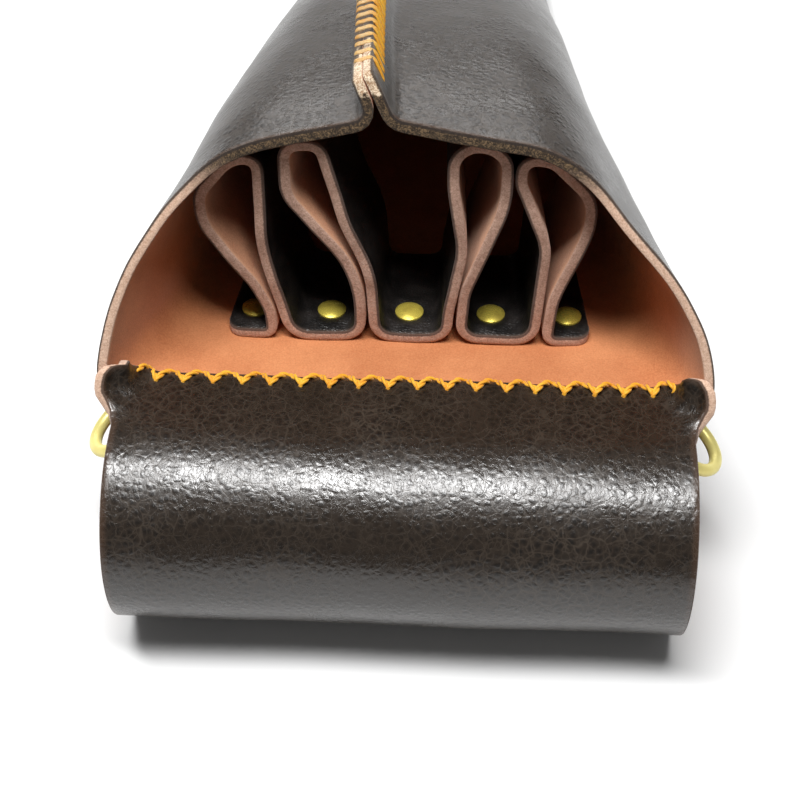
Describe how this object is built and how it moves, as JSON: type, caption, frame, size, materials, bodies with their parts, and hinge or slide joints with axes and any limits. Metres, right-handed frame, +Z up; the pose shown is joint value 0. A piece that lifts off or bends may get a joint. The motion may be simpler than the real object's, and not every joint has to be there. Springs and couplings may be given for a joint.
{
  "type": "scissor pouch",
  "caption": "Tapered leather scissor pouch with a whip-stitched front seam, a strip of standing loops in its mouth, a flap rolled into a belt loop, and D-rings.",
  "frame": {"origin": "middle of the pouch's box, on the surface that it rests on", "axes": "+Y from the mouth to the tip, +Z up, +X to the right as seen from the mouth"},
  "size_m": [0.1304, 0.2302, 0.0986],
  "materials": {
    "grain_leather": "pebbled grain outside, tan suede inside",
    "strip_leather": "smooth black grain on one side, tan suede on the other",
    "thread": "two-ply waxed",
    "rivet_brass": "antique",
    "ring_brass": "polished"
  },
  "bodies": {
    "pouch": {"pouch_body": "grain_leather", "belt_flap": "grain_leather", "left_ring_tab": "grain_leather", "right_ring_tab": "grain_leather", "divider_strip": "strip_leather", "front_seam_thread": "thread", "flap_seam_thread": "thread", "tip_seam_thread": "thread", "divider_rivet_cap_1": "rivet_brass", "divider_rivet_base_1": "rivet_brass", "divider_rivet_cap_2": "rivet_brass", "divider_rivet_base_2": "rivet_brass", "divider_rivet_cap_3": "rivet_brass", "divider_rivet_base_3": "rivet_brass", "divider_rivet_cap_4": "rivet_brass", "divider_rivet_base_4": "rivet_brass", "divider_rivet_cap_5": "rivet_brass", "divider_rivet_base_5": "rivet_brass", "flap_rivet_cap_1": "rivet_brass", "flap_rivet_base_1": "rivet_brass", "flap_rivet_cap_2": "rivet_brass", "flap_rivet_base_2": "rivet_brass", "flap_rivet_cap_3": "rivet_brass", "flap_rivet_base_3": "rivet_brass", "flap_rivet_cap_4": "rivet_brass", "flap_rivet_base_4": "rivet_brass", "left_tab_rivet_cap": "rivet_brass", "left_tab_rivet_base": "rivet_brass", "right_tab_rivet_cap": "rivet_brass", "right_tab_rivet_base": "rivet_brass"},
    "ring_left": {"left_d_ring": "ring_brass"},
    "ring_right": {"right_d_ring": "ring_brass"}
  },
  "joints": [
    {"name": "ring_left_swing", "type": "hinge", "parent": "pouch", "child": "ring_left", "pos_m": [-0.0543, -0.07896, 0.03578], "axis": [0, 0.9804, -0.1968], "range_deg": [-115, 65]},
    {"name": "ring_right_swing", "type": "hinge", "parent": "pouch", "child": "ring_right", "pos_m": [0.0543, -0.07896, 0.03578], "axis": [0, 0.9804, -0.1968], "range_deg": [-65, 115]}
  ]
}
